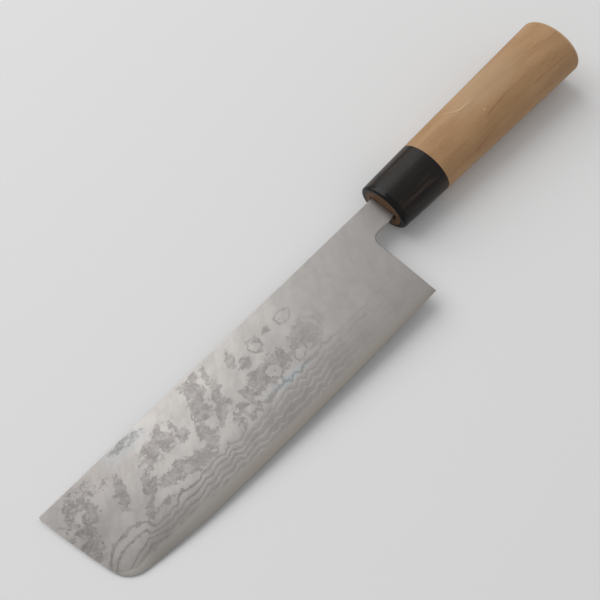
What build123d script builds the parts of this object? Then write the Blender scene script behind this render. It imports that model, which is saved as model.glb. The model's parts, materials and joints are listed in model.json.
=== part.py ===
from build123d import *
import os
from math import asin, atan, cos, degrees, radians, sin, sqrt

# A nakiri: a square-tipped vegetable knife with a three-layer blade and a wooden handle
# behind a horn collar. The knife is drawn straight. X runs from the tip to the butt and
# X = 0 is the front of the ferrule, Y runs from the cutting edge to the spine, Z comes
# out of the left face, and the X axis is the handle's axis. At the end the pieces are
# laid down together on the right side, as the knife lies on a table, and the origin goes
# to the middle of the underside of the whole knife. Lengths are in millimetres and
# angles in degrees.

# Blade seen from its side
edge_length = 165.0        # from the heel to the foremost point of the tip
heel_height = 45.9         # from the spine to the edge
neck_length = 13.8         # bare neck between the ferrule and the heel
neck_height = 12.0
neck_corner_radius = 4.5
spine_offset = 6.2         # from the handle's axis up to the spine
spine_climb = 0.3          # added to the offset at the tip
straight_edge = 32.0       # from the heel to where the edge begins to curve
sweep_radius = 2650.0      # first, hardly curved stretch after it
belly_radius = 322.0       # second stretch
belly_slope = 8.2          # angle to which the belly climbs
corner_radius = 10.5       # corner between the edge and the front
corner_slope = 78.0        # angle to which the corner climbs
front_slant = 5.2          # how far the tip leans out over that corner

# Blade seen from its end
spine_thickness = 3.2      # at the ferrule
tip_thickness = 1.8        # at the spine's far end
flat_loss = 0.5            # thickness lost from the spine to the top of the bevel
bevel_height = 18.0        # above the edge
edge_land = 0.12           # thickness of the very edge
core_thickness = 0.8
eased_radius = 0.45        # along the spine, the neck and the heel
bevel_fade_share = 0.5     # bevel left where the belly meets the corner
ease_wall_share = 0.9      # most of the thinnest cladding that the eased edges may take

# Tang, hidden in the handle
tang_length = 84.0         # behind the front of the ferrule
tang_end_height = 5.0
tang_end_thickness = 2.0

# Handle and ferrule
handle_length = 112.2      # with the ferrule
handle_front_height = 25.5
handle_front_width = 20.3
butt_height = 29.9
butt_width = 22.4
butt_radius = 2.2
ferrule_length = 26.5
ferrule_front_height = 24.0
ferrule_front_width = 17.2
ferrule_high_wall = 2.8    # of its front, above and below the tenon as the knife cuts
ferrule_side_wall = 1.35   # of its front, left and right of the tenon
ferrule_rim_radius = 1.2
rim_wall_share = 0.9       # most of the thinner wall that the rim may take

# Slot in the handle and the resin that beds the tang in it
slot_side_gap = 0.3
slot_end_gap = 0.8
slot_spare = 2.0           # slot beyond the end of the tang
bedding_setback = 2.5      # empty mouth of the slot, in front of the resin

overrun = 1.0              # how far a cutter stands past what it cuts

# Places that follow from the sizes
heel_x = -neck_length
front_x = heel_x - edge_length
edge_y = spine_offset - heel_height
neck_y = spine_offset - neck_height
tip_y = spine_offset + spine_climb
flat_height = heel_height - bevel_height
half_land = edge_land / 2
half_core = core_thickness / 2
tenon_height = ferrule_front_height - 2 * ferrule_high_wall
tenon_width = ferrule_front_width - 2 * ferrule_side_wall


def half_thickness(x, y):
    """Half of the blade's thickness between its two flat faces."""
    along = (tip_thickness - spine_thickness) * x / front_x
    down = flat_loss * (spine_offset - y) / flat_height
    return (spine_thickness + along - down) / 2


def edge_stations():
    """Points along the edge: heel, end of the straight, of the sweep, belly and corner.

    The sweep's slope at its end is the one with which the sweep and the belly together
    reach from the straight to the corner.
    """
    slope_2 = radians(belly_slope)
    slope_3 = radians(corner_slope)
    corner_end_x = front_x + front_slant
    belly_end_x = corner_end_x + corner_radius * (sin(slope_3) - sin(slope_2))
    straight_end_x = heel_x - straight_edge
    curved = straight_end_x - belly_end_x
    slope_1 = asin((curved - belly_radius * sin(slope_2)) / (sweep_radius - belly_radius))
    sweep_end_x = straight_end_x - sweep_radius * sin(slope_1)
    sweep_end_y = edge_y + sweep_radius * (cos(0) - cos(slope_1))
    belly_end_y = sweep_end_y + belly_radius * (cos(slope_1) - cos(slope_2))
    corner_end_y = belly_end_y + corner_radius * (cos(slope_2) - cos(slope_3))
    return [
        (heel_x, edge_y),
        (straight_end_x, edge_y),
        (sweep_end_x, sweep_end_y),
        (belly_end_x, belly_end_y),
        (corner_end_x, corner_end_y),
    ]


def bevel_stations():
    """The same stations on the line where the bevel meets the flat face."""
    share_left = [1, 1, 1, bevel_fade_share, 0]
    return [(x, y + bevel_height * share) for (x, y), share in zip(edge_stations(), share_left)]


def lower_side(stations):
    """The straight, the sweep, the belly and the corner, drawn through the stations."""
    start, straight_end, sweep_end, belly_end, corner_end = stations
    straight = Line(start, straight_end)
    sweep = TangentArc(straight_end, sweep_end, tangent=straight % 1)
    belly = TangentArc(sweep_end, belly_end, tangent=sweep % 1)
    corner = TangentArc(belly_end, corner_end, tangent=belly % 1)
    return [straight, sweep, belly, corner]


def blade_outline():
    """The blade from its side, closed at the ferrule."""
    edges = lower_side(edge_stations())
    lean = radians(corner_slope)
    front = TangentArc(edges[-1] @ 1, (front_x, tip_y), tangent=(-cos(lean), sin(lean)))
    neck = Line((0, neck_y), (heel_x + neck_corner_radius, neck_y))
    heel_top = (heel_x, neck_y - neck_corner_radius)
    edges += [
        front,
        Line((front_x, tip_y), (0, spine_offset)),
        Line((0, spine_offset), (0, neck_y)),
        neck,
        TangentArc(neck @ 1, heel_top, tangent=neck % 1),
        Line(heel_top, (heel_x, edge_y)),
    ]
    return make_face([edge.edge() for edge in edges])


def grinding_section(stations, height_at):
    """A face with its lower side on the stations and its other sides outside the blade.

    Every point of it is as high as height_at says for its place.
    """
    (_, low_y), *others = stations
    corner_y = others[-1][1]
    behind_x = overrun
    ahead_x = front_x - overrun
    above_y = tip_y + overrun
    edges = lower_side([(behind_x, low_y), *others])
    edges += [
        Line(others[-1], (ahead_x, corner_y)),
        Line((ahead_x, corner_y), (ahead_x, above_y)),
        Line((ahead_x, above_y), (behind_x, above_y)),
        Line((behind_x, above_y), (behind_x, low_y)),
    ]
    raised = []
    for edge in edges:
        start, middle, end = [
            Vector(point.X, point.Y, height_at(point.X, point.Y))
            for point in (edge @ 0, edge @ 0.5, edge @ 1)
        ]
        if edge.edge().geom_type == GeomType.LINE:
            raised.append(Edge.make_line(start, end))
        else:
            raised.append(Edge.make_three_point_arc(start, middle, end))
    return make_face(raised)


def land_height(x, y):
    return half_land


def flat_plane():
    """The plane of the left flat face."""
    places = [(0, spine_offset), (front_x, tip_y), (heel_x, edge_y)]
    ferrule_end, tip, heel = [Vector(x, y, half_thickness(x, y)) for x, y in places]
    return Plane(origin=ferrule_end, z_dir=(tip - ferrule_end).cross(heel - ferrule_end))


def is_eased(edge):
    """True for the flat face's edges along the spine, the neck and the heel."""
    middle = edge @ 0.5
    on_spine = middle.Y > spine_offset - neck_height / 2
    on_neck = middle.X > heel_x - eased_radius and middle.Y > edge_y
    at_ferrule = middle.X > -eased_radius
    return (on_spine or on_neck) and not at_ferrule


def blank():
    """The left half before it is ground, with its outer edges eased."""
    prism = extrude(blade_outline(), amount=spine_thickness)
    plate = split(prism, bisect_by=flat_plane(), keep=Keep.BOTTOM)
    flat_face = plate.faces().sort_by(Axis.Z)[-1]
    outer_edges = [edge for edge in flat_face.edges() if is_eased(edge)]
    cladding = (tip_thickness - core_thickness) / 2
    return fillet(outer_edges, min(eased_radius, ease_wall_share * cladding))


def blade_left_half():
    """Everything of the blade that lies above its middle plane, without the tang."""
    low = grinding_section(edge_stations(), land_height)
    high = grinding_section(bevel_stations(), half_thickness)
    ground = loft([low, high], ruled=True)
    land = extrude(low, amount=half_land, dir=(0, 0, -1))
    return blank() & (ground + land)


def tang_section(x, end_gap, side_gap):
    """A slice of the tang, or with gaps a slice of the slot around it."""
    along = x / tang_length
    neck_top = half_thickness(0, spine_offset)
    neck_low = half_thickness(0, neck_y)
    top = spine_offset + (tang_end_height / 2 - spine_offset) * along + end_gap
    low = neck_y - (tang_end_height / 2 + neck_y) * along - end_gap
    half_top = neck_top + (tang_end_thickness / 2 - neck_top) * along + side_gap
    half_low = neck_low + (tang_end_thickness / 2 - neck_low) * along + side_gap
    corners = [(top, half_top), (low, half_low), (low, -half_low), (top, -half_top)]
    slice_plane = Plane(origin=(x, 0, 0), x_dir=(0, 1, 0), z_dir=(1, 0, 0))
    return slice_plane * make_face(Polyline(*corners, close=True).edges())


def tang_run(start, end, end_gap, side_gap):
    return loft(
        [tang_section(start, end_gap, side_gap), tang_section(end, end_gap, side_gap)],
        ruled=True,
    )


def slab(low, high):
    """A plate wider than the knife between two heights."""
    span = edge_length + neck_length + handle_length + heel_height
    return Pos(0, 0, (low + high) / 2) * Box(2 * span, 2 * span, high - low)


def blade_layers():
    left_half = blade_left_half()
    tang = tang_run(0, tang_length, 0, 0)
    outer_slab = slab(half_core, spine_thickness)
    left_plate = left_half & outer_slab
    left_tang = tang & outer_slab
    cladding_left = left_plate + left_tang
    half_middle = left_half & slab(0, half_core)
    middle_tang = tang & slab(-half_core, half_core)
    core = half_middle + mirror(half_middle, about=Plane.XY) + middle_tang
    return core, cladding_left, mirror(cladding_left, about=Plane.XY)


def oval(x, height, width):
    """An ellipse across the handle."""
    slice_plane = Plane(origin=(x, 0, 0), x_dir=(0, 1, 0), z_dir=(1, 0, 0))
    return slice_plane * Ellipse(height / 2, width / 2)


def tenon(start, end):
    return extrude(oval(start, tenon_height, tenon_width), amount=end - start)


def handle():
    body = loft([
        oval(ferrule_length, handle_front_height, handle_front_width),
        oval(handle_length, butt_height, butt_width),
    ])
    body = fillet(body.edges().sort_by(Axis.X)[-1], butt_radius)
    wood = body + tenon(0, ferrule_length)
    slot = tang_run(-overrun, tang_length + slot_spare, slot_end_gap, slot_side_gap)
    return wood - slot


def tang_bedding():
    resin = tang_run(bedding_setback, tang_length + slot_spare, slot_end_gap, slot_side_gap)
    return resin - tang_run(0, tang_length, 0, 0)


def ferrule():
    collar = loft([
        oval(0, ferrule_front_height, ferrule_front_width),
        oval(ferrule_length, handle_front_height, handle_front_width),
    ])
    wall = min(ferrule_high_wall, ferrule_side_wall)
    rim = collar.edges().sort_by(Axis.X)[0]
    collar = fillet(rim, min(ferrule_rim_radius, rim_wall_share * wall))
    return collar - tenon(-overrun, ferrule_length + overrun)


def resting_normal():
    """The table's upward normal while the knife lies on its tip, its toe and its ferrule.

    The three points that touch are the lower corner of the tip, the top of the rounded
    corner below it, and the lowest point of the ferrule's back end, which moves a little
    round that oval as the knife rolls.
    """
    tip = Vector(front_x, tip_y, -half_thickness(front_x, tip_y))
    toe_x, toe_y = edge_stations()[-1]
    toe = Vector(toe_x, toe_y, -half_thickness(toe_x, toe_y))
    half_height = handle_front_height / 2
    half_width = handle_front_width / 2
    normal = Vector(0, 0, 1)
    for _ in range(6):
        reach = sqrt((half_height * normal.Y) ** 2 + (half_width * normal.Z) ** 2)
        touch_y = -half_height ** 2 * normal.Y / reach
        touch_z = -half_width ** 2 * normal.Z / reach
        touch = Vector(ferrule_length, touch_y, touch_z)
        normal = (toe - tip).cross(touch - tip).normalized()
    return normal


def lay_down(pieces):
    """Turn the knife until the table is level, then put the origin under its middle."""
    normal = resting_normal()
    roll = degrees(atan(normal.Y / normal.Z))
    pitch = degrees(atan(normal.X / sqrt(normal.Y ** 2 + normal.Z ** 2)))
    turned = [Rot(0, -pitch, 0) * Rot(roll, 0, 0) * piece for piece in pieces]
    box = Compound(children=[Compound(piece.solids()) for piece in turned]).bounding_box()
    middle = box.center()
    return [Pos(-middle.X, -middle.Y, -box.min.Z) * piece for piece in turned]


core_steel, cladding_left, cladding_right = blade_layers()
names = ["core_steel", "cladding_left", "cladding_right", "handle", "ferrule", "tang_bedding"]
shapes = lay_down([core_steel, cladding_left, cladding_right, handle(), ferrule(), tang_bedding()])

os.makedirs("parts", exist_ok=True)
for name, shape in zip(names, shapes):
    export_step(shape, f"parts/{name}.step")
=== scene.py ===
import json
from math import cos, radians, sin

import bpy
from mathutils import Matrix, Vector

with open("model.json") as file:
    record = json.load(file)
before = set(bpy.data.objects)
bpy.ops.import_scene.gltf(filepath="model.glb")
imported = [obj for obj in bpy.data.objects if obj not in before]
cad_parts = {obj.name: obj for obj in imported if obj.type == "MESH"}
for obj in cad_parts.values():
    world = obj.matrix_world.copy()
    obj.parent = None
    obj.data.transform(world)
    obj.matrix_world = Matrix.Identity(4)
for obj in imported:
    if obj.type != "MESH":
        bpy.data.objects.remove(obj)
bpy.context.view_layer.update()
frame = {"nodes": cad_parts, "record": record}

# A nakiri lying on its right side. Everything is in metres, in the frame of the packed
# parts. The materials work in millimetres of the knife's own axes, which follow from the
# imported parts: X runs from the tip to the butt with 0 at the front of the ferrule, Y from
# the edge to the spine, and Z out of the left face, which lies on top.
MM = 0.001

# Camera
camera_azimuth = radians(-45.93)
camera_elevation = radians(61.96)
camera_roll = radians(-0.90)
camera_distance = 420 * MM
camera_target = Vector((-17.07, 11.55, 0)) * MM
camera_lens = 63.43        # on a sensor 36 wide, as Blender counts both
camera_sensor = 36

# Light
world_level = 0.5
key_azimuth = radians(185)      # where the key light stands, counted as the camera's
key_elevation = radians(45)
key_distance = 1.8
key_size = 2
key_power = 20
floor_size = 8.0
floor_grey = 0.80

# The etched pattern of the blade, in millimetres and degrees. The layers are parallel to the
# blade's middle plane, so grinding the bevel shows them as lines, each layer_depth below the
# one before. Where they are folded up into a hill, the flat cuts them too: a hill of up to
# about half a layer shows as a dark patch (islands), and one of nearly a layer as a ring.
# Each hill is its middle along the knife and up it, its length and width, the angle of its
# length, and how many layers high it is.
layer_depth = 0.125        # towards the heel
tip_layer_depth = 0.074
tip_lines_x = -125         # from the tip to here the lines are thin and close
wide_lines_x = -85         # and from here to the heel they are wide
fade_start_x = -76         # where the pattern starts to fade out towards the heel
fade_end_x = -46
half_core = 0.26           # where the core starts to show, from the blade's middle plane
core_wander = 0.10         # how far the lines' waves move that place, for each layer
roll_depth = 0.6           # depth over which the bevel rolls into the flat
tip_roll_depth = 1.6
islands = [
    (-169.0, -5.0, 23, 19, 60, 0.51),
    (-173.5, -17.0, 16, 10, 80, 0.50),
    (-160.0, 1.0, 22, 11, 0, 0.40),
    (-152.8, -9.0, 19, 5.5, 68, 0.59),
    (-150.0, -21.5, 8, 5, 60, 0.50),
    (-130.0, -5.0, 24, 12, 12, 0.59),
    (-122.0, -9.0, 10, 10, 0, 0.50),
    (-143.0, -13.5, 19, 6, 52, 0.64),
    (-128.5, -19.5, 28, 10, -14, 0.59),
    (-138.5, 3.8, 20, 6.0, -5, 0.46),
    (-141.0, -24.2, 17, 3.4, -8, 0.66),
    (-111.5, -8.0, 37, 10, 60, 0.59),
    (-106.0, 4.0, 18, 4.5, -4, 0.50),
    (-117.0, -21.0, 12, 9, 40, 0.52),
    (-105.0, -13.5, 20, 10, 62, 0.48),
    (-100.3, 1.0, 11, 4, 80, 0.54),
    (-102.6, -7.5, 15, 5.5, 52, 0.52),
    (-101.0, -20.0, 11, 10, 30, 0.62),
    (-94.8, -18.0, 15, 3.2, 100, 0.60),
    (-89.5, -1.0, 10, 5.5, 60, 0.47),
    (-86.5, -5.8, 10, 5.5, 10, 0.56),
    (-71.5, -3.5, 6, 3, 0, 0.50),
    (-84.0, -15.5, 27, 13, 4, 0.59),
    (-60.0, -14.5, 30, 14, 8, 0.60),
]
rings = [
    (-78.2, -4.2, 8.2, 5.4, 100, 0.92),
    (-62.8, -3.6, 8.4, 5.6, 0, 0.92),
    (-81.0, -16.5, 8, 7, 120, 1.05),
    (-68.5, -19.0, 8, 5, 20, 0.95),
]
# Spots of colour rather than of layers, with a strength in place of the height
heel_mark = (-43.1, -26.3, 8.5, 1.9, 3, 0.46)
cool_stains = [(-79.5, -22.9, 18, 4.0, -6, 0.9), (-139.5, 3.0, 19, 6.5, 0, 0.55)]

# The hidden right face has the same pattern, mirrored and moved along
underside_shift = 9.0
underside_mirror = -14.0   # twice the Y of the line that it is mirrored in

# Near the tip the layers are folded up over a hump, which starts on the flat
hump_x = -162.2            # its crest along the knife
hump_y = -18.45            # where its first layer shows there
hump_drop = 0.0039         # how that layer falls away to either side, by the third power
hump_slope = 0.245         # layers gained for each millimetre towards the edge
hump_height = 1.8          # in layers
hump_low_share = 0.62      # of that height, down on the bevel
hump_end_x = -150.0        # where it rises from nothing, and where it has its full height
hump_full_x = -157.5

# The zigzags of the lines on the bevel
zigzag_length = 7.2
zigzag_lean = 0.05         # part of a zigzag that a line is shifted for each millimetre up
zigzag_height = 2.8        # in layers, on a saw that goes a quarter to either side
zigzag_fine = 0.28         # layers, for the finer kinks
zigzag_drift = 3.0         # how many zigzags they wander along the knife

# The colours of steel, horn and wood, as they look in an even light, except those marked below as
# painted light and shade
light_steel_shades = ((162, 158, 155), (177, 173, 170))
tip_steel_shades = ((148, 144, 141), (163, 159, 156))
etched_shade = (124, 120, 117)
cool_tint = (0.93, 1.05, 1.11)
core_shade = (158, 154, 149)
edge_shades = ((144, 140, 135), (150, 143, 134))         # at the tip and at the heel
bright_shades = ((184, 181, 178), (212, 209, 206))
horn_shades = ((28, 25, 23), (66, 52, 43))
horn_fibre_shade = (17, 15, 15)
horn_vein_shade = (10, 9, 9)
# painted shade on the horn's front rim
horn_rim_painted_shade = (6, 6, 6)
wood_shades = ((177, 140, 100), (164, 127, 88))
late_wood_shade = (136, 98, 62)
fibre_shade = (138, 100, 63)
pore_shade = (112, 80, 50)
reddish_shade = (134, 80, 52)
# the first is a painted shadow below the curl, the second the curl's pale colour
curl_painted_shadow_and_pale_shades = ((134, 92, 58), (214, 184, 146))           # below it and on it
fleck_shade = (208, 184, 150)
# patina with a painted sheen, on the upper side
patina_and_sheen_shade = (184, 157, 123)
# painted highlight on the butt's rounded rim
butt_rim_painted_highlight = (216, 188, 152)
# darker end grain, and painted shade, at the tenon's front
tenon_end_grain_and_painted_shade = (74, 44, 20)
resin_shades = ((38, 28, 21), (58, 43, 32))
grit_shade = (84, 66, 50)

# The ferrule and the handle
# The horn's front rim is polished smoother and darkened with painted shade.
ferrule_rim_start = 1.6    # the polished dark rim of the horn fades out between these
ferrule_rim_end = 3.0
pith_y = -34.0             # of the tree, from the handle's middle line, at the ferrule
pith_z = -58.0
pith_drift_y = 9           # how far it has moved at the butt
pith_drift_z = -5
wood_length = 115          # over which it moves
ring_width = 2.6
grain_lines = [            # from and to along the handle, height there, slope, strength
    (56, 76, -6.2, 0.085, 0.54),
    (72, 96, -5.4, 0.02, 0.26),
    (43, 60, -12.2, 0.05, 0.36),
    (84, 108, -9.5, -0.02, 0.28),
]
curl_x = 55.0              # a thin pale curl in the grain: where it turns, and its height there
curl_y = 3.9
curl_bend = 0.0108         # how it rises towards the ferrule, by the third power
curl_slope = 0.15          # and how it falls towards the butt
pale_fleck = (58.9, -3.6, 1.1, 0.9, 0, 0.5)
# a pale patch on the upper side: patina, and a painted sheen
patina_and_sheen_patch = (70, 4.5, 40, 15, 0, 0.40)
handle_end = 112.2
butt_radius = 2.2
tenon_reach = 6.0          # how far from its front the tenon is darkened: its end grain, and painted shade in the ferrule's mouth


def linear(red, green, blue):
    """A colour as a renderer needs it, from its three values out of 255."""
    shares = [value / 255 for value in (red, green, blue)]
    return tuple(s / 12.92 if s <= 0.04045 else ((s + 0.055) / 1.055) ** 2.4 for s in shares)


def direction(azimuth, elevation):
    """From the object towards a point seen at that azimuth and elevation."""
    level = cos(elevation)
    return Vector((sin(azimuth) * level, -cos(azimuth) * level, sin(elevation)))


def mount(name):
    """Place and outward direction of one of the knife's mounts."""
    found = next(m for m in frame["record"]["mounts"] if m["name"] == name)
    return Vector(found["pos_m"]), Vector(found["axis"]).normalized()


def knife_axes():
    """The knife's own axes as a 4x4 matrix, with its origin in the ferrule's front."""
    _, left = mount("left_flat")
    _, right = mount("right_flat")
    z_axis = (left - right).normalized()
    x_axis = Vector((z_axis.z, 0, -z_axis.x)).normalized()
    y_axis = z_axis.cross(x_axis)
    turned = Matrix((x_axis, y_axis, z_axis))
    places = [turned @ vertex.co for vertex in frame["nodes"]["ferrule"].data.vertices]
    front = min(place.x for place in places)
    middle = [(min(p[i] for p in places) + max(p[i] for p in places)) / 2 for i in (1, 2)]
    origin = turned.transposed() @ Vector((front, *middle))
    return Matrix.Translation(origin) @ turned.transposed().to_4x4()


axes = knife_axes()


class Surface:
    """The nodes of one material. Each method adds nodes and returns what they put out."""

    def __init__(self, name):
        self.material = bpy.data.materials.new(name)
        self.material.use_nodes = True
        self.tree = self.material.node_tree
        self.shader = self.tree.nodes["Principled BSDF"]

    def add(self, kind, inputs, output=0, **settings):
        node = self.tree.nodes.new(kind)
        for key, value in settings.items():
            setattr(node, key, value)
        for key, value in inputs.items():
            self.put(value, node.inputs[key])
        return node.outputs[output]

    def put(self, value, socket):
        if isinstance(value, bpy.types.NodeSocket):
            self.tree.links.new(value, socket)
        else:
            socket.default_value = value

    def set(self, **inputs):
        """Sets the shader's own sockets, with _ for a space in their names."""
        for key, value in inputs.items():
            self.put(value, self.shader.inputs[key.replace("_", " ")])

    def math(self, operation, *values):
        return self.add("ShaderNodeMath", dict(enumerate(values)), operation=operation)

    def vector(self, operation, first, second, output=0):
        return self.add("ShaderNodeVectorMath", {0: first, 1: second}, output, operation=operation)

    def length(self, vector):
        return self.add("ShaderNodeVectorMath", {0: vector}, "Value", operation="LENGTH")

    def scaled(self, vector, factor):
        return self.add("ShaderNodeVectorMath", {0: vector, "Scale": factor}, operation="SCALE")

    def split(self, vector):
        node = self.tree.nodes.new("ShaderNodeSeparateXYZ")
        self.put(vector, node.inputs[0])
        return node.outputs[0], node.outputs[1], node.outputs[2]

    def join(self, x, y, z):
        return self.add("ShaderNodeCombineXYZ", {0: x, 1: y, 2: z})

    def place(self):
        """The shaded point in millimetres along the knife's axes."""
        coordinates = self.add("ShaderNodeTexCoord", {}, "Object")
        turn = {"Vector": coordinates, "Location": axes.to_translation(),
                "Rotation": axes.to_euler(), "Scale": (MM, MM, MM)}
        return self.add("ShaderNodeMapping", turn, vector_type="TEXTURE")

    def noise(self, vector, size, detail=2.0, roughness=0.5, output="Fac"):
        """Noise from 0 to 1 whose largest features are size millimetres across."""
        if isinstance(size, tuple):
            vector = self.vector("DIVIDE", vector, size)
            size = 1
        settings = {"Vector": vector, "Scale": 1 / size, "Detail": detail, "Roughness": roughness}
        return self.add("ShaderNodeTexNoise", settings, output)

    def swing(self, noise, reach):
        """Noise turned into a value that goes about reach to either side of 0."""
        return self.math("MULTIPLY", self.math("SUBTRACT", noise, 0.5), 4 * reach)

    def warped(self, vector, size, reach, detail=2.0):
        """The place moved about by noise, by up to about reach millimetres."""
        colour = self.noise(vector, size, detail, output="Color")
        shift = self.vector("SUBTRACT", colour, (0.5, 0.5, 0.5))
        return self.vector("ADD", vector, self.scaled(shift, 2 * reach))

    def ramp(self, value, start, end, low=0.0, high=1.0, smooth=True):
        """Goes from low to high while value goes from start to end."""
        inputs = {"Value": value, "From Min": start, "From Max": end, "To Min": low, "To Max": high}
        kind = "SMOOTHSTEP" if smooth else "LINEAR"
        return self.add("ShaderNodeMapRange", inputs, interpolation_type=kind)

    def hill(self, place, middle_x, middle_y, length, width, angle, height):
        """A hill of that height whose outline at half its height is an ellipse."""
        inputs = {
            "Vector": place,
            "Location": (middle_x, middle_y, 0),
            "Rotation": (0, 0, radians(angle)),
            "Scale": (length / 2, width / 2, 1),
        }
        mapped = self.add("ShaderNodeMapping", inputs, vector_type="TEXTURE")
        return self.ramp(self.length(mapped), 1.5, 0.5, 0.0, height)

    def highest_hill(self, place, hills):
        height = 0.0
        for values in hills:
            height = self.math("MAXIMUM", self.hill(place, *values), height)
        return height

    def mix(self, share, first, second, blend="MIX"):
        inputs = {0: share, 6: first, 7: second}
        for key in (6, 7):
            if isinstance(inputs[key], tuple):
                inputs[key] = (*inputs[key], 1)
        return self.add("ShaderNodeMix", inputs, 2, data_type="RGBA", blend_type=blend)

    def blend(self, share, shades):
        """From the first to the second of two colours out of 255, as share goes up to 1."""
        first, second = shades
        return self.mix(share, linear(*first), linear(*second))

    def tint(self, share, colour, shade):
        """The colour with that share of a shade out of 255 over it."""
        return self.mix(share, colour, linear(*shade))

    def lerp(self, share, first, second):
        return self.add("ShaderNodeMix", {0: share, 2: first, 3: second}, 0, data_type="FLOAT")

    def bump(self, height, distance, strength=1.0, below=None):
        """A normal from a height of 0 to 1 that stands for distance in metres."""
        inputs = {"Height": height, "Distance": distance, "Strength": strength}
        if below is not None:
            inputs["Normal"] = below
        return self.add("ShaderNodeBump", inputs)


class Steel(Surface):
    """Ground and etched steel: layered cladding, and the plain core that shows at the edge.

    What several methods need is worked out once. The pattern is drawn in flat, the place seen
    square on, which bent, gentle and frayed bend about more and more. depth is how much of
    the flat has been ground off, and on_bevel goes from 0 on the flat to 1 on the bevel.
    """

    def __init__(self, name):
        super().__init__(name)
        self.here = self.place()
        self.x, self.y, self.z = self.split(self.here)
        self.depth = self.depth_ground_off()
        self.faces = self.facing_out()
        self.flat = self.seen_square_on()
        self.bent = self.warped(self.flat, 7.0, 2.0)
        self.gentle = self.warped(self.bent, 2.4, 1.0, 5.0)
        self.frayed = self.warped(self.bent, 2.6, 1.5, 5.0)
        self.cloudy = self.noise(self.flat, (14, 9, 9), 3.0, 0.55)
        drifting = self.math("ADD", self.depth, self.swing(self.cloudy, 0.06))
        self.on_bevel = self.ramp(drifting, -0.02, 0.40)
        self.near_heel = self.ramp(self.x, fade_start_x, fade_end_x)
        self.kinks = self.zigzags()
        self.swells = self.broad_waves()

    def depth_ground_off(self):
        """How deep the surface lies below the nearer flat face, in millimetres."""
        coordinates = self.add("ShaderNodeTexCoord", {}, "Object")
        depths = []
        for name in ("left_flat", "right_flat"):
            place, axis = mount(name)
            along = self.vector("DOT_PRODUCT", coordinates, tuple(axis), "Value")
            depths.append(self.math("SUBTRACT", place.dot(axis), along))
        return self.math("MULTIPLY", self.math("MINIMUM", *depths), 1 / MM)

    def facing_out(self):
        """1 on the blade's two faces and 0 on its spine, its heel and its front."""
        normal = self.add("ShaderNodeNewGeometry", {}, "Normal")
        _, axis = mount("left_flat")
        along = self.vector("DOT_PRODUCT", normal, tuple(axis), "Value")
        return self.ramp(self.math("ABSOLUTE", along), 0.85, 0.95)

    def seen_square_on(self):
        underneath = self.math("LESS_THAN", self.z, 0.0)
        x = self.math("ADD", self.x, self.math("MULTIPLY", underneath, underside_shift))
        y = self.lerp(underneath, self.y, self.math("SUBTRACT", underside_mirror, self.y))
        return self.join(x, y, 0.0)

    def zigzags(self):
        """How far the layers are folded up and down along the knife, in layers."""
        drift = self.noise(self.join(self.x, 0.0, 0.0), 19.0, 1.0)
        along = self.math("MULTIPLY", self.x, 1 / zigzag_length)
        leaning = self.math("SUBTRACT", along, self.math("MULTIPLY", self.y, zigzag_lean))
        turn = self.math("ADD", leaning, self.math("MULTIPLY", drift, zigzag_drift))
        off = self.math("ABSOLUTE", self.math("SUBTRACT", self.math("FRACT", turn), 0.5))
        saw = self.math("MULTIPLY", self.math("SUBTRACT", off, 0.25), zigzag_height)
        stretched = self.join(self.x, self.math("MULTIPLY", self.y, 0.25), 0.0)
        fine = self.swing(self.noise(stretched, 3.6, 2.0, 0.5), zigzag_fine)
        kinks = self.math("ADD", saw, fine)
        stronger = self.noise(self.join(self.x, self.y, 3.0), 17.0, 1.0)
        reaches = [
            self.ramp(stronger, 0.36, 0.62, 0.30, 1.0),
            self.ramp(self.x, -130, -105, 0.34, 0.72),
            self.ramp(self.x, -92, -76, 1.0, 0.72),
            self.ramp(self.depth, 0.0, 0.22, 0.12, 1.0),
        ]
        for reach in reaches:
            kinks = self.math("MULTIPLY", kinks, reach)
        return kinks

    def broad_waves(self):
        """The long waves of the lines on the bevel, in layers."""
        stretched = self.join(self.x, self.math("MULTIPLY", self.y, 0.3), 0.0)
        waves = self.swing(self.noise(stretched, 26.0, 1.0), 0.30)
        return self.math("MULTIPLY", waves, self.ramp(self.depth, 0.0, 0.15))

    def hump(self):
        """The fold near the tip, which rises from the flat and runs down over the bevel."""
        x, y, _ = self.split(self.warped(self.flat, 4.0, 1.3, 4.0))
        off = self.math("ABSOLUTE", self.math("SUBTRACT", x, hump_x))
        drop = self.math("MULTIPLY", self.math("POWER", off, 3.0), hump_drop)
        below = self.math("SUBTRACT", self.math("SUBTRACT", hump_y, drop), y)
        folded = self.math("MULTIPLY", below, hump_slope)
        across = self.ramp(x, hump_end_x, hump_full_x, 0.0, hump_height)
        down = self.ramp(y, -28.5, -33.0, 1.0, hump_low_share)
        top = self.math("MULTIPLY", across, down)
        return self.math("MAXIMUM", self.math("MINIMUM", folded, top), 0.0)

    def hills(self):
        """How far the layers are folded up into patches, rings and the hump, in layers."""
        patches = self.highest_hill(self.frayed, islands)
        patches = self.math("MAXIMUM", self.highest_hill(self.gentle, rings), patches)
        patches = self.math("MULTIPLY", patches, self.ramp(self.x, -36, -62))
        patches = self.math("MULTIPLY", patches, self.ramp(self.depth, 0.0, 0.14, 1.0, 0.6))
        return self.math("MAXIMUM", patches, self.hump())

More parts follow.
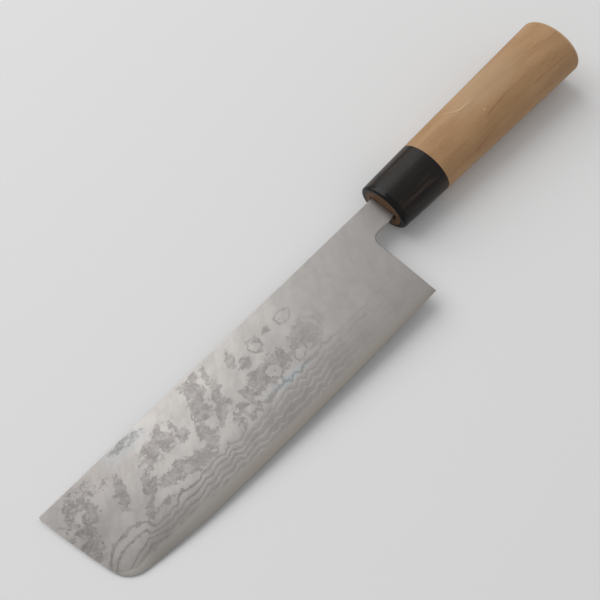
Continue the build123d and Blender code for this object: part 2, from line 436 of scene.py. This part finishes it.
    def layers(self):
        """How far through a layer the surface is: 0 where one starts, 1 at the next."""
        layer = self.ramp(self.x, tip_lines_x, wide_lines_x, tip_layer_depth, layer_depth)
        fanned = self.math("MULTIPLY", self.depth, self.ramp(self.x, -177, -160, 0.5, 1.0))
        lower = self.ramp(self.x, wide_lines_x, tip_lines_x, 0.3, 1.85)
        lower = self.math("MULTIPLY", lower, self.ramp(fanned, 0.0, 0.15, smooth=False))
        level = self.math("SUBTRACT", self.math("DIVIDE", fanned, layer), lower)
        folds = self.swing(self.noise(self.flat, (8, 6, 6), 4.0, 0.6), 0.12)
        crumbs = self.swing(self.noise(self.flat, 1.4, 3.0, 0.6), 0.11)
        rougher = self.ramp(self.x, -168, -125, 2.2, 1.0)
        rougher = self.lerp(self.ramp(self.y, -22, -17), 1.2, rougher)
        crumbs = self.math("MULTIPLY", crumbs, rougher)
        for part in (self.hills(), folds, crumbs, self.kinks, self.swells):
            level = self.math("ADD", level, part)
        return self.math("FRACT", self.math("SUBTRACT", level, 0.32))

    def patch_strength(self, softer):
        """How dark the dark layers are: uneven, and weaker towards the heel."""
        on_flat = self.ramp(self.noise(self.flat, 3.2, 3.0, 0.6), 0.38, 0.60, 0.42, 0.80)
        ground = self.ramp(self.cloudy, 0.35, 0.65, 0.56, 0.86)
        strength = self.lerp(self.ramp(self.depth, 0.0, 0.10), on_flat, ground)
        speckle = self.ramp(self.noise(self.flat, 0.9, 2.0, 0.6), 0.48, 0.62)
        soft_lines = self.math("MULTIPLY", softer, self.on_bevel)
        shares = [
            self.ramp(self.x, -155, -118, 1.06, 0.88),
            self.lerp(speckle, 1.0, 0.70),
            self.lerp(soft_lines, 1.0, 0.66),
        ]
        for share in shares:
            strength = self.math("MULTIPLY", strength, share)
        return strength

    def etched(self):
        """How dark the etching has left the steel, from 0 to 1."""
        phase = self.layers()
        softer = self.ramp(self.x, tip_lines_x, -95)
        wide = self.math("MULTIPLY", self.on_bevel, self.math("SUBTRACT", 1.0, softer))
        ending = self.lerp(wide, self.ramp(phase, 0.50, 0.30), self.ramp(phase, 0.80, 0.30))
        dark = self.math("MINIMUM", self.ramp(phase, 0.0, 0.16), ending)
        dark = self.math("MULTIPLY", dark, self.patch_strength(softer))
        pale = self.math("MINIMUM", self.ramp(phase, 0.36, 0.54), self.ramp(phase, 0.84, 0.60))
        between = self.lerp(softer, 0.32, 0.46)
        between = self.math("SUBTRACT", between, self.math("MULTIPLY", pale, 0.30))
        dark = self.math("MAXIMUM", dark, self.math("MULTIPLY", self.on_bevel, between))
        faint = self.math("MULTIPLY", self.near_heel, 0.85)
        faint = self.math("MAXIMUM", faint, self.ramp(self.x, -60, -18))
        dark = self.lerp(faint, dark, self.etched_plain())
        return self.math("MAXIMUM", dark, self.hill(self.gentle, *heel_mark))

    def etched_plain(self):
        """The same for the heel, where no layers show: soft clouds and fine curdling."""
        bevel = self.math("MULTIPLY", self.on_bevel, 0.14)
        plain = self.math("ADD", bevel, self.math("MULTIPLY", self.cloudy, 0.12))
        curdled = self.ramp(self.noise(self.bent, 5.5, 5.0, 0.68), 0.40, 0.64, 0.0, 0.13)
        curdled = self.math("MULTIPLY", curdled, self.ramp(self.x, -8, -48, 0.3, 1.0))
        return self.math("ADD", plain, curdled)

    def steel_colour(self, dark):
        """The light and dark steel with two cool stains, before the painted light and shade, and
        the core.
        """
        leaning = {"Vector": self.flat, "Rotation": (0, 0, radians(-55))}
        streaky = self.noise(self.add("ShaderNodeMapping", leaning), (11, 4, 4), 4.0, 0.65)
        streaky = self.math("MULTIPLY", streaky, 0.45)
        mottle = self.math("ADD", streaky, self.math("MULTIPLY", self.cloudy, 0.55))
        calmer = self.math("MULTIPLY", self.near_heel, 0.5)
        mottle = self.lerp(calmer, self.ramp(mottle, 0.36, 0.64), 0.5)
        light = self.blend(mottle, light_steel_shades)
        light = self.mix(self.ramp(self.x, -128, -152), light, self.blend(mottle, tip_steel_shades))
        colour = self.tint(dark, light, etched_shade)
        cool = self.highest_hill(self.frayed, cool_stains)
        return self.mix(cool, colour, self.mix(1.0, colour, cool_tint, "MULTIPLY"))

    def shade(self):
        """Painted light and shade: slow changes of brightness along the blade and across it, as a
        factor.
        """
        # darker towards the tip
        shade = self.ramp(self.x, -179, -140, 0.78, 1.0)
        factors = [
            # painted shade on the neck, next to the ferrule
            self.ramp(self.x, -14, -3, 1.0, 0.84),
            # the bevel darker at the tip and lighter at the heel: partly its duller grind, partly
            # painted shade and light
            self.lerp(self.on_bevel, 1.0, self.ramp(self.x, -160, -35, 0.82, 1.15, False)),
            # painted highlight on the bevel at the tip's corner
            self.lerp(self.on_bevel, 1.0, self.ramp(self.x, -157, -172, 1.0, 1.5)),
            # painted light along the spine side, away from the heel
            self.lerp(self.near_heel, self.ramp(self.y, -12, 2, 1.0, 1.07), 1.0),
        ]
        for factor in factors:
            shade = self.math("MULTIPLY", shade, factor)
        return self.join(shade, shade, shade)

    def with_core(self, cladding):
        """The cladding's colour with the plain core along the edge, wavy where they meet."""
        off_middle = self.math("ABSOLUTE", self.z)
        wander = self.math("ADD", self.kinks, self.swells)
        wander = self.math("MULTIPLY", wander, core_wander)
        above = self.math("SUBTRACT", self.math("ADD", off_middle, wander), half_core)
        core = self.math("MULTIPLY", self.ramp(above, 0.05, -0.04), self.ramp(self.y, -22, -26))
        near_edge = self.ramp(off_middle, half_core, 0.06)
        edge = self.blend(self.ramp(self.x, -150, -100), edge_shades)
        return self.mix(core, cladding, self.mix(near_edge, linear(*core_shade), edge))

    def rolled_grind(self):
        """Height in millimetres that rolls the bevel into the flat, where it has no ridge."""
        reach = self.ramp(self.x, -148, -170, roll_depth, tip_roll_depth)
        inside = self.math("MINIMUM", self.depth, reach)
        square = self.math("MULTIPLY", inside, inside)
        square = self.math("DIVIDE", square, self.math("MULTIPLY", reach, 2.0))
        return self.math("MULTIPLY", self.math("SUBTRACT", inside, square), self.faces)

    def relief(self, dark, scratches):
        """The normal: grainy where the etching went deep, scratched, and rolled."""
        grain = self.noise(self.flat, 0.6, 2.0, 0.6)
        relief = self.bump(grain, 0.010 * MM, self.math("MULTIPLY", dark, self.faces))
        scratched = self.math("MULTIPLY", self.faces, 0.5)
        relief = self.bump(scratches, 0.0016 * MM, scratched, relief)
        return self.bump(self.rolled_grind(), MM, 1.0, relief)


def blade(name):
    """Etched faces, and a bright spine, heel and front, brushed along their length."""
    steel = Steel(name)
    dark = steel.etched()
    faces = steel.with_core(steel.steel_colour(dark))
    # the steel's colour times its painted light and shade
    faces = steel.mix(1.0, faces, steel.shade(), "MULTIPLY")
    brushed = steel.noise(steel.here, (20, 0.14, 0.14), 3.0, 0.6)
    bright = steel.blend(steel.ramp(brushed, 0.3, 0.7), bright_shades)
    colour = steel.mix(steel.faces, bright, faces)
    across = steel.math("MULTIPLY", steel.x, 9.0)
    lines = steel.join(across, steel.math("MULTIPLY", steel.y, 0.07), steel.z)
    scratches = steel.noise(lines, 1.0, 2.0)
    rough = steel.math("ADD", steel.lerp(dark, 0.36, 0.44), steel.swing(scratches, 0.02))
    rough = steel.lerp(steel.faces, steel.ramp(brushed, 0.3, 0.7, 0.24, 0.34), rough)
    relief = steel.relief(dark, scratches)
    steel.set(Base_Color=colour, Metallic=1.0, Roughness=rough, Normal=relief)
    return steel.material


def buffalo_horn(name):
    """Polished buffalo horn, nearly black, with browner streaks along the handle, and painted shade
    on its front rim.
    """
    horn = Surface(name)
    place = horn.warped(horn.place(), 12.0, 0.7)
    clouds = horn.noise(place, (34, 6, 6), 3.0, 0.55)
    streaks = horn.noise(place, (46, 2.2, 2.2), 4.0, 0.6)
    fibres = horn.noise(place, (22, 0.24, 0.24), 2.0, 0.5)
    browner = horn.math("MULTIPLY", horn.ramp(clouds, 0.42, 0.66), horn.ramp(streaks, 0.40, 0.64))
    colour = horn.blend(browner, horn_shades)
    colour = horn.tint(horn.ramp(fibres, 0.50, 0.72, 0.0, 0.5), colour, horn_fibre_shade)
    winding = horn.noise(place, (24, 5, 5), 2.0, 0.5)
    off_vein = horn.math("ABSOLUTE", horn.math("SUBTRACT", winding, 0.5))
    veins = horn.ramp(off_vein, 0.012, 0.0, 0.0, 0.8)
    veins = horn.math("MULTIPLY", veins, horn.ramp(clouds, 0.46, 0.60))
    colour = horn.tint(veins, colour, horn_vein_shade)
    along, _, _ = horn.split(horn.place())
    rim = horn.ramp(along, ferrule_rim_end, ferrule_rim_start)
    # painted shade darkens the front rim
    colour = horn.tint(horn.math("MULTIPLY", rim, 0.8), colour, horn_rim_painted_shade)
    scuffs = horn.swing(horn.noise(place, (0.35, 2.6, 2.6), 2.0, 0.5), 0.02)
    rough = horn.math("ADD", horn.ramp(streaks, 0.3, 0.7, 0.27, 0.35), scuffs)
    rough = horn.lerp(rim, rough, 0.15)
    relief = horn.bump(fibres, 0.004 * MM, 0.5)
    relief = horn.bump(horn.noise(place, (30, 3, 3), 2.0), 0.05 * MM, 0.4, relief)
    horn.set(Base_Color=colour, Roughness=rough, Specular_IOR_Level=0.22, Normal=relief)
    return horn.material


def late_wood(wood, place):
    """The darker end of each growth ring, round a pith outside the handle."""
    x, y, z = wood.split(place)
    middle_y = wood.ramp(x, 0, wood_length, pith_y, pith_y + pith_drift_y, False)
    middle_z = wood.ramp(x, 0, wood_length, pith_z, pith_z + pith_drift_z, False)
    off_y = wood.math("SUBTRACT", y, middle_y)
    off_z = wood.math("SUBTRACT", z, middle_z)
    radius = wood.length(wood.join(0.0, off_y, off_z))
    wobble = wood.swing(wood.noise(place, (70, 7, 7), 3.0, 0.5), 0.45)
    ring = wood.math("ADD", wood.math("DIVIDE", radius, ring_width), wobble)
    turn = wood.math("FRACT", ring)
    late = wood.math("MINIMUM", wood.ramp(turn, 0.45, 0.93), wood.ramp(turn, 1.0, 0.96))
    years = wood.noise(wood.join(wood.math("FLOOR", ring), 0.5, 0.5), 1.7, 0.0)
    return wood.math("MULTIPLY", late, wood.ramp(years, 0.30, 0.70, 0.15, 1.0))


def reddish_lines(wood, place, figure, above):
    """Thin reddish lines in the grain: some left to noise, and those of grain_lines."""
    x, y, _ = wood.split(place)
    winding = wood.noise(place, (44, 3.4, 3.4), 2.0, 0.5)
    off = wood.math("ABSOLUTE", wood.math("SUBTRACT", winding, 0.56))
    lines = wood.ramp(off, 0.008, 0.0, 0.0, 0.3)
    lines = wood.math("MULTIPLY", lines, wood.ramp(figure, 0.44, 0.56))
    for start, end, height, slope, strength in grain_lines:
        rise = wood.math("MULTIPLY", wood.math("SUBTRACT", x, start), slope)
        off = wood.math("SUBTRACT", y, wood.math("ADD", rise, height))
        line = wood.ramp(wood.math("ABSOLUTE", off), 0.42, 0.06, 0.0, strength)
        ends = wood.math("MINIMUM", wood.ramp(x, start, start + 4), wood.ramp(x, end, end - 6))
        line = wood.math("MULTIPLY", wood.math("MULTIPLY", line, ends), above)
        lines = wood.math("MAXIMUM", line, lines)
    return lines


def with_curl(wood, colour, place, above):
    """The wood's colour with the pale curl in its grain, and a painted shadow as a darker line
    below that.
    """
    x, y, _ = wood.split(place)
    before = wood.math("MAXIMUM", wood.math("SUBTRACT", curl_x, x), 0.0)
    after = wood.math("MAXIMUM", wood.math("SUBTRACT", x, curl_x), 0.0)
    rise = wood.math("MULTIPLY", wood.math("POWER", before, 3.0), curl_bend)
    rise = wood.math("SUBTRACT", rise, wood.math("MULTIPLY", after, curl_slope))
    off = wood.math("SUBTRACT", wood.math("SUBTRACT", y, curl_y), rise)
    ends = wood.math("MINIMUM", wood.ramp(x, 46, 48), wood.ramp(x, 62, 52))
    ends = wood.math("MULTIPLY", ends, above)
    # painted shadow: a darker line just below the curl
    below = wood.ramp(wood.math("ABSOLUTE", wood.math("ADD", off, 0.45)), 0.55, 0.05, 0.0, 0.40)
    glow = wood.ramp(wood.math("ABSOLUTE", wood.math("SUBTRACT", off, 0.30)), 0.50, 0.05, 0.0, 0.75)
    for share, shade in zip((below, glow), curl_painted_shadow_and_pale_shades):
        colour = wood.tint(wood.math("MULTIPLY", share, ends), colour, shade)
    return colour


def with_wear(wood, colour, place, above):
    """The wood's colour with pale flecks, and on the upper side one pale patch: patina, and a
    painted sheen.
    """
    x, y, _ = wood.split(place)
    across = wood.join(x, y, 0.0)
    flecks = wood.ramp(wood.noise(place, (2.6, 1.1, 1.1), 1.0), 0.72, 0.80, 0.0, 0.25)
    one = wood.math("MULTIPLY", wood.hill(across, *pale_fleck), above)
    colour = wood.tint(wood.math("MAXIMUM", flecks, one), colour, fleck_shade)
    # patina and a painted sheen over one patch on the upper side
    patina_and_sheen = wood.math("MULTIPLY", wood.hill(across, *patina_and_sheen_patch), above)
    return wood.tint(patina_and_sheen, colour, patina_and_sheen_shade)


def with_ends(wood, colour, place):
    """The wood's colour with a painted highlight round the butt's rim, and the tenon's front
    darkened for its end grain and by painted shade.
    """
    along, _, _ = wood.split(wood.place())
    start = handle_end - butt_radius
    rim = wood.ramp(along, start, start + 0.9)
    rim = wood.math("MINIMUM", rim, wood.ramp(along, handle_end - 0.1, handle_end - 0.8))
    # a painted highlight along the butt's rounded rim
    colour = wood.tint(wood.math("MULTIPLY", rim, 0.42), colour, butt_rim_painted_highlight)
    x, _, _ = wood.split(place)
    # the tenon's front darkened: its end grain, and painted shade in the ferrule's mouth
    tenon = wood.math("MULTIPLY", wood.ramp(x, tenon_reach, 0.5), 0.85)
    return wood.tint(tenon, colour, tenon_end_grain_and_painted_shade)


def magnolia(name):
    """Pale magnolia wood with growth rings, fibres, pores and a few thin lines."""
    wood = Surface(name)
    place = wood.warped(wood.place(), (90, 16, 16), 1.6)
    _, _, z = wood.split(place)
    above = wood.ramp(z, 0.0, 3.0)
    figure = wood.noise(place, (40, 9, 9), 4.0, 0.6)
    fibres = wood.noise(place, (13, 0.7, 0.7), 3.0, 0.6)
    pores = wood.ramp(wood.noise(place, (2.6, 0.17, 0.17), 1.0, 0.5), 0.61, 0.70)
    colour = wood.blend(wood.ramp(figure, 0.32, 0.66), wood_shades)
    colour = wood.tint(wood.math("MULTIPLY", late_wood(wood, place), 0.26), colour, late_wood_shade)
    colour = wood.tint(wood.ramp(fibres, 0.44, 0.70, 0.0, 0.15), colour, fibre_shade)
    colour = wood.tint(wood.math("MULTIPLY", pores, 0.26), colour, pore_shade)
    colour = wood.tint(reddish_lines(wood, place, figure, above), colour, reddish_shade)
    colour = with_curl(wood, colour, place, above)
    colour = with_wear(wood, colour, place, above)
    colour = with_ends(wood, colour, place)
    relief = wood.bump(wood.math("SUBTRACT", 1.0, pores), 0.02 * MM, 0.4)
    relief = wood.bump(fibres, 0.03 * MM, 0.4, relief)
    rough = wood.ramp(figure, 0.3, 0.7, 0.50, 0.60)
    wood.set(Base_Color=colour, Roughness=rough, Specular_IOR_Level=0.4, Normal=relief)
    return wood.material


def tang_resin(name):
    """Dark bedding round the tang, a little uneven and with fine grit."""
    resin = Surface(name)
    place = resin.place()
    lumps = resin.noise(place, 1.6, 3.0, 0.6)
    grit = resin.noise(place, 0.25, 1.0)
    colour = resin.blend(resin.ramp(lumps, 0.35, 0.65), resin_shades)
    colour = resin.tint(resin.ramp(grit, 0.60, 0.72, 0.0, 0.5), colour, grit_shade)
    relief = resin.bump(lumps, 0.15 * MM, 0.6)
    resin.set(Base_Color=colour, Roughness=0.5, Normal=relief)
    return resin.material


def pale_paper(name):
    paper = Surface(name)
    paper.set(Base_Color=(floor_grey, floor_grey, floor_grey, 1), Roughness=0.9)
    return paper.material


def dress(node, material):
    piece = frame["nodes"][node]
    piece.data.materials.clear()
    piece.data.materials.append(material)


def set_up_camera():
    camera = bpy.data.objects.new("camera", bpy.data.cameras.new("camera"))
    bpy.context.scene.collection.objects.link(camera)
    back = direction(camera_azimuth, camera_elevation)
    right = Vector((cos(camera_azimuth), sin(camera_azimuth), 0))
    up = back.cross(right)
    x_axis = right * cos(camera_roll) + up * sin(camera_roll)
    y_axis = up * cos(camera_roll) - right * sin(camera_roll)
    turned = Matrix((x_axis, y_axis, back)).transposed().to_4x4()
    camera.matrix_world = Matrix.Translation(camera_target + back * camera_distance) @ turned
    camera.data.lens = camera_lens
    camera.data.sensor_width = camera_sensor
    bpy.context.scene.camera = camera


def set_up_light():
    world = bpy.data.worlds.new("studio")
    world.use_nodes = True
    world.node_tree.nodes["Background"].inputs["Color"].default_value = (1, 1, 1, 1)
    world.node_tree.nodes["Background"].inputs["Strength"].default_value = world_level
    bpy.context.scene.world = world
    lamp = bpy.data.lights.new("key", "AREA")
    lamp.shape = "DISK"
    lamp.size = key_size
    lamp.energy = key_power
    key = bpy.data.objects.new("key", lamp)
    toward = direction(key_azimuth, key_elevation)
    key.location = toward * key_distance
    key.rotation_mode = "QUATERNION"
    key.rotation_quaternion = (-toward).to_track_quat("-Z", "Y")
    bpy.context.scene.collection.objects.link(key)


def set_up_floor():
    bpy.ops.mesh.primitive_plane_add(size=floor_size)
    floor = bpy.context.object
    floor.name = "floor"
    floor.data.materials.append(pale_paper("floor_paper"))


blade_steel = blade("blade_steel")
for node in ("core_steel", "cladding_left", "cladding_right"):
    dress(node, blade_steel)
dress("ferrule", buffalo_horn("buffalo_horn"))
dress("handle", magnolia("magnolia"))
dress("tang_bedding", tang_resin("resin"))
set_up_floor()
set_up_light()
set_up_camera()

scene = bpy.context.scene
scene.view_settings.view_transform = "Standard"
